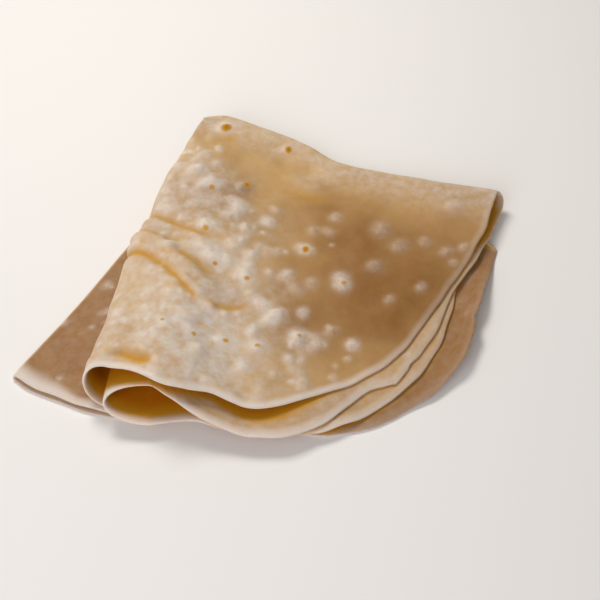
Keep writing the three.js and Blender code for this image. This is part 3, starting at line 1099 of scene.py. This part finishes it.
@dataclass
class Roti:
    """The bread: the folded sheet, what baking did to it, and its finish.

    Attributes:
        tip: Where the folded tip stands, known once the bread is built.
        edge_round: How far the rounded rim stands out past the faces.
        edge_levels: How fast, with slope, a thinned edge moves from its under face to its middle.
        fold_calm: Share of the blisters' height that is lost round the outer fold.
        fold_calm_side: Angles over which it is lost.
        creases_turn: Angles over which the creases turn from upright to square to the sheet.
        creases_end: Angles over which they die away round the outer fold.
        creases_start: Distances from the tip over which they begin.
        creases_under: Angles below which the layers underneath follow them.
        creases_under_r: Distances from the tip below which they do so too.
        creases_even: Angles over which all of those layers come to follow them alike.
        creases_inner: Share of the creases that they then follow.
        settles: How far each layer settles onto the one below at its edge.
        settles_over: Distances from the edge over which it settles.
        settles_apart: How much less a layer may settle than the one above it.
        settles_side: Angles over which settling dies away.
    """

    sheet: FoldedSheet = field(default_factory=FoldedSheet)
    baking: Baking = field(default_factory=Baking)
    finish: BakedDough = field(default_factory=BakedDough)
    tip: Vector = field(default_factory=Vector)
    edge_round: float = 0.6
    edge_levels: float = 2.0
    fold_calm: float = 0.8
    fold_calm_side: Span = (70.0, 80.0)
    creases_turn: Span = (66.0, 79.0)
    creases_end: Span = (86.0, 97.0)
    creases_start: Span = (4.0, 24.0)
    creases_under: Span = (56.0, 46.0)
    creases_under_r: Span = (160.0, 135.0)
    creases_even: Span = (58.0, 70.0)
    creases_inner: float = 0.6
    settles: dict[Layer, float] = field(default_factory=lambda: {
        Layer.TOP: 1.2, Layer.SECOND: 0.8, Layer.THIRD: 0.4})
    settles_over: Span = (18.0, 3.0)
    settles_apart: float = 0.45
    settles_side: Span = (50.0, 40.0)

    def marks_on(self, grid: SheetGrid, x: Array, y: Array) -> tuple[dict[Mark, Array], dict[Mark, Array]]:
        """Works out the browned places, the painted amber shade and the painted highlight along the edges.

        Args:
            grid: The sheet's middle.
            x: Places on the flat disc.
            y: Places on the flat disc.

        Returns:
            The marks of the outside face but for those of its blisters, and the marks of the inside face.
        """
        baking = self.baking
        tan = baking.brownness(x, y) * grid.shows + grid.brown * (1 - grid.shows)
        # Painted amber shade in the creases.
        crease = np.zeros_like(x)
        for line in baking.creases:
            if line.amber:
                crease = np.maximum(crease, baking.crease_amber * line.amber * line.share_at(x, y))
        # Painted amber shade, and deeper painted shade, in under the edges of covering layers, kept off the
        # tip; the inner loop's floor gets painted amber shade away from its lip.
        lit = smooth(grid.r, baking.tip_lit)
        painted_shade, deep = ([smooth(depth, span) * lit for depth in (grid.depth_outside, grid.depth_inside)]
                      for span in (baking.shaded, baking.deep))
        painted_loop_shade = grid.amber * smooth(grid.edge, baking.lit_lip)
        amber = np.maximum(np.maximum(crease * grid.shows, painted_shade[0]), painted_loop_shade)
        # A painted highlight along the edges, wider on the flap.
        wider = 1 + baking.pale_flap * smooth(grid.a, baking.pale_flap_side)
        pale = smooth(grid.edge / wider, baking.pale_edge)
        pale = pale * between(baking.pale_edge_depth, smooth(grid.a, baking.pale_edge_side))
        outside = {Mark.TAN: tan, Mark.AMBER: amber, Mark.DEEP: deep[0], Mark.EDGE: pale}
        inside = {Mark.TAN: grid.brown + np.zeros_like(x), Mark.AMBER: painted_shade[1], Mark.DEEP: deep[1],
                  Mark.EDGE: grid.rim * pale, Mark.TOAST: np.full_like(x, baking.toast_limit)}
        return outside, inside

    def build(self) -> bpy.types.Object:
        """Builds the bread's mesh, dresses it and puts it in place of the solid.

        Returns:
            The bread.
        """
        baking, grid = self.baking, self.sheet.grid()
        low, high = grid.points.reshape(-1, 3).min(axis=0), grid.points.reshape(-1, 3).max(axis=0)
        cad_low, cad_high = (np.array(corner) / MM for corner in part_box(NODE))
        move = (cad_low + cad_high) / 2 - (low + high) / 2
        move[2] = 0.0
        self.tip = Vector(move * MM)
        x, y = on_disc(grid.r, grid.turn)
        outer_marks, inner_marks = self.marks_on(grid, x, y)
        blisters, frost, toast = baking.raise_blisters(x, y)
        mottle = baking.paleness(grid.r, grid.turn) * grid.shows + grid.dry * (1 - grid.shows)
        frost = frost * (1 - baking.frost_browned * outer_marks[Mark.TAN])
        outer_marks.update({Mark.FROST: frost, Mark.TOAST: toast, Mark.MOTTLE: mottle})
        inner_marks.update({Mark.FROST: frost, Mark.MOTTLE: mottle})
        vertices = self.skin(grid, blisters) + move
        faces = self.faces(*grid.r.shape, grid.fine)
        used, numbers = np.unique(np.concatenate([np.array(face) for face in faces]), return_inverse=True)
        ends = np.cumsum([len(face) for face in faces])
        corners = [part.tolist() for part in np.split(numbers, ends[:-1])]
        mesh = bpy.data.meshes.new("folded_bread")
        mesh.from_pydata((vertices[used] * MM).tolist(), [], corners)
        mesh.update()
        mesh.polygons.foreach_set("use_smooth", np.ones(len(mesh.polygons), dtype=bool))
        for mark, values in outer_marks.items():
            layered = np.concatenate([values.ravel(), inner_marks[mark][::2, ::2].ravel(), values[-1]])
            attribute = mesh.attributes.new(mark.value, "FLOAT", "POINT")
            attribute.data.foreach_set("value", layered[used].astype(np.float32))
        bread = bpy.data.objects.new("folded_bread", mesh)
        bpy.context.scene.collection.objects.link(bread)
        mesh.materials.append(self.finish.material())
        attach(bread, "root")
        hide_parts(NODE)
        return bread

    def skin(self, grid: SheetGrid, blisters: Array) -> Array:
        """Sets out the faces of the sheet on both sides of its middle, and the rounded rim between them.

        Args:
            grid: The sheet's middle.
            blisters: Heights of the blisters.

        Returns:
            Points of the outside face, of every second point and ring of the inside face, and of the rim.
        """
        sheet, middle = self.sheet, self.press(grid)
        normal = self.normals(middle)
        full = sheet.thickness / 2 * sheet.pinch(grid.r)
        half = sheet.half_thickness(grid.r, grid.edge)
        facing = np.clip(self.edge_levels * normal[..., 2], -1.0, 1.0)
        middle = middle - normal * ((full - half) * facing)[..., None]
        flatter = 1 - self.fold_calm * smooth(grid.turn, self.fold_calm_side)
        outside = middle + normal * (half + blisters * flatter * grid.shows)[..., None]
        inside = (middle - normal * half[..., None])[::2, ::2]
        outward = middle[-1] - middle[-2]
        outward /= np.linalg.norm(outward, axis=1)[:, None]
        rim = middle[-1] + outward * self.edge_round
        return np.concatenate([block.reshape(-1, 3) for block in (outside, inside, rim)])

    def press(self, grid: SheetGrid) -> Array:
        """Presses the creases and the unevenness into the sheet, and settles its layers near their edges.

        Args:
            grid: The sheet's middle.

        Returns:
            The sheet's middle with its relief.
        """
        x, y = on_disc(grid.r, np.where(grid.shows > 0, grid.turn, grid.a))
        creases = sum(line.height * line.share_at(x, y) for line in self.baking.creases)
        pressed = np.maximum(smooth(grid.a, self.creases_under), smooth(grid.r, self.creases_under_r))
        even = smooth(grid.a, self.creases_even) * (grid.follows > 0)
        share = grid.follows * (1 - even) + self.creases_inner * even
        creases *= np.where(grid.shows > 0, 1.0, pressed * share)
        level = np.array([0.0, 0.0, 1.0])
        turned = (smooth(grid.turn, self.creases_turn) * grid.shows)[..., None]
        way = level * (1 - turned) + self.normals(grid.points) * turned
        way /= np.linalg.norm(way, axis=2)[..., None]
        fade = 1 - smooth(grid.turn, self.creases_end) * grid.shows
        lifted = creases + self.baking.cockle(x, y) * (grid.follows > 0)
        lifted *= fade * smooth(grid.r, self.creases_start)
        sinks, settled = np.zeros_like(grid.r), np.zeros_like(grid.r)
        for layer, depth in self.settles.items():
            own = depth * smooth(self.sheet.edge_at(layer, grid.a) - grid.r, self.settles_over)
            sinks = np.maximum(own, sinks - self.settles_apart)
            settled = np.where(grid.layer == layer.value, sinks, settled)
        settled *= smooth(grid.a, self.settles_side)
        return grid.points + way * lifted[..., None] - level * settled[..., None]

    def normals(self, middle: Array) -> Array:
        """Finds the direction out of the sheet at each point.

        Args:
            middle: The sheet's middle.

        Returns:
            Unit vectors.
        """
        along = np.roll(middle, -1, axis=1) - np.roll(middle, 1, axis=1)
        outward = np.gradient(middle, axis=0)
        normal = np.cross(along, outward)
        return normal / np.linalg.norm(normal, axis=2)[..., None]

    def faces(self, rings: int, points: int, fine: int) -> list[tuple[int, ...]]:
        """Joins the outside face, the coarser inside face and the rims.

        Off the top face, the outside face takes every second ring only; the faces beside the top face take
        in the ring between.

        Args:
            rings: Rings of the outside face.
            points: Points along each ring of the outside face.
            fine: How many of them are part of the top face.

        Returns:
            Faces as numbers of vertices.
        """
        half_rings, half_points = (rings + 1) // 2, points // 2
        inside, rim = rings * points, rings * points + half_rings * half_points
        made: list[tuple[int, ...]] = []
        for j in range(points):
            k = (j + 1) % points
            step = 1 if j < fine else 2
            for low in range(0, (rings - 1) * points, step * points):
                between, high = low + points, low + step * points
                before = (between + j,) if j == fine else ()
                after = (between + k,) if step == 2 and k == 0 else ()
                made.append((low + j, low + k, *after, high + k, high + j, *before))
            last = (rings - 1) * points
            made.append((last + j, last + k, rim + k, rim + j))
        for m in range(half_points):
            n = (m + 1) % half_points
            made += [(inside + i * half_points + m, inside + (i + 1) * half_points + m,
                      inside + (i + 1) * half_points + n, inside + i * half_points + n)
                     for i in range(half_rings - 1)]
            outermost = inside + (half_rings - 1) * half_points
            here, there = outermost + m, outermost + n
            first, middle, last = rim + 2 * m, rim + 2 * m + 1, rim + (2 * m + 2) % points
            made += [(first, middle, here), (middle, there, here), (middle, last, there)]
            here, there = inside + m, inside + n
            first, middle, last = 2 * m, 2 * m + 1, (2 * m + 2) % points
            made += [(first, here, middle), (middle, here, there), (middle, there, last)]
        return made


@dataclass(frozen=True)
class SoftLight:
    """A square light: where it hangs, its side, its power in watts and its colour."""

    name: str
    place: tuple[float, float, float]
    side: float
    watts: float
    colour: str


@dataclass
class Studio:
    """A pale floor, two soft lights above on the left, a pale sky, and a camera above the near side."""

    tip: Vector
    target_from_tip: tuple[float, float] = (40.8, -123.0)
    distance: float = 597.95
    elevation: float = 51.46
    roll: float = -6.27
    field_of_view: float = 28.0
    floor_side: float = 6000.0
    floor_drop: float = 0.2
    floor_colour: str = "#faf9f7"
    floor_roughness: float = 0.9
    floor_gloss: float = 0.1
    sky: float = 0.26
    sky_colour: str = "#f7f4ef"
    lights: tuple[SoftLight, ...] = (
        SoftLight("key_light", (-170.0, 360.0, 680.0), 280.0, 3.5, "#fff9f0"),
        SoftLight("front_light", (-330.0, -660.0, 480.0), 700.0, 3.2, "#fbf7ff"),
    )

    def target(self) -> Vector:
        """Returns the point on the floor that the camera and the lights are aimed at."""
        return Vector((self.tip.x, self.tip.y, 0.0)) + Vector((*self.target_from_tip, 0.0)) * MM

    def build_floor(self) -> bpy.types.Object:
        """Lays the floor.

        Returns:
            The floor.
        """
        half, drop = self.floor_side / 2 * MM, -self.floor_drop * MM
        mesh = bpy.data.meshes.new("floor")
        corners = [(-half, -half, drop), (half, -half, drop), (half, half, drop), (-half, half, drop)]
        mesh.from_pydata(corners, [], [(0, 1, 2, 3)])
        floor = bpy.data.objects.new("floor", mesh)
        bpy.context.scene.collection.objects.link(floor)
        # Matte emulsion paint: even, pale, no gloss.
        paint = bpy.data.materials.new("matte_emulsion_paint_rolled")
        paint.use_nodes = True
        surface = paint.node_tree.nodes["Principled BSDF"]
        surface.inputs["Base Color"].default_value = linear(self.floor_colour)
        surface.inputs["Roughness"].default_value = self.floor_roughness
        surface.inputs["Specular IOR Level"].default_value = self.floor_gloss
        mesh.materials.append(paint)
        return floor

    def build_light(self, soft: SoftLight) -> bpy.types.Object:
        """Hangs one light, aimed at the bread.

        Args:
            soft: The light's settings.

        Returns:
            The light.
        """
        lamp = bpy.data.lights.new(soft.name, "AREA")
        lamp.size = soft.side * MM
        lamp.energy = soft.watts
        lamp.color = linear(soft.colour)[:3]
        light = bpy.data.objects.new(soft.name, lamp)
        light.location = Vector(soft.place) * MM
        aim = self.target() - light.location
        light.rotation_euler = aim.to_track_quat("-Z", "Y").to_euler()
        bpy.context.scene.collection.objects.link(light)
        return light

    def build_camera(self) -> bpy.types.Object:
        """Sets up the camera.

        Returns:
            The camera.
        """
        tilt, roll = math.radians(self.elevation), math.radians(self.roll)
        back = Vector((0.0, -math.cos(tilt), math.sin(tilt)))
        level = Vector((1.0, 0.0, 0.0))
        rise = back.cross(level)
        right = level * math.cos(roll) + rise * math.sin(roll)
        up = rise * math.cos(roll) - level * math.sin(roll)
        lens = bpy.data.cameras.new("camera")
        lens.sensor_fit = "HORIZONTAL"
        lens.angle = math.radians(self.field_of_view)
        camera = bpy.data.objects.new("camera", lens)
        turn = Matrix((right, up, back)).transposed().to_4x4()
        camera.matrix_world = Matrix.Translation(self.target() + back * self.distance * MM) @ turn
        bpy.context.scene.collection.objects.link(camera)
        bpy.context.scene.camera = camera
        return camera

    def build(self) -> list[bpy.types.Object]:
        """Builds the studio.

        Returns:
            Its floor, lights and camera.
        """
        world = bpy.data.worlds.new("soft_sky")
        world.use_nodes = True
        background = world.node_tree.nodes["Background"]
        background.inputs["Color"].default_value = linear(self.sky_colour)
        background.inputs["Strength"].default_value = self.sky
        bpy.context.scene.world = world
        bpy.context.scene.view_settings.view_transform = "Standard"
        return [self.build_floor(), *(self.build_light(light) for light in self.lights), self.build_camera()]


def main() -> None:
    """Builds the bread and its studio, and notes the sizes."""
    logging.basicConfig(level=logging.INFO, format="%(name)s: %(message)s")
    roti = Roti()
    bread = roti.build()
    LOG.info("%s: %d points, %d faces", bread.name, len(bread.data.vertices), len(bread.data.polygons))
    for piece in Studio(roti.tip).build():
        LOG.info("%s: %s", piece.name, piece.type)


if __name__ == "__main__":
    main()
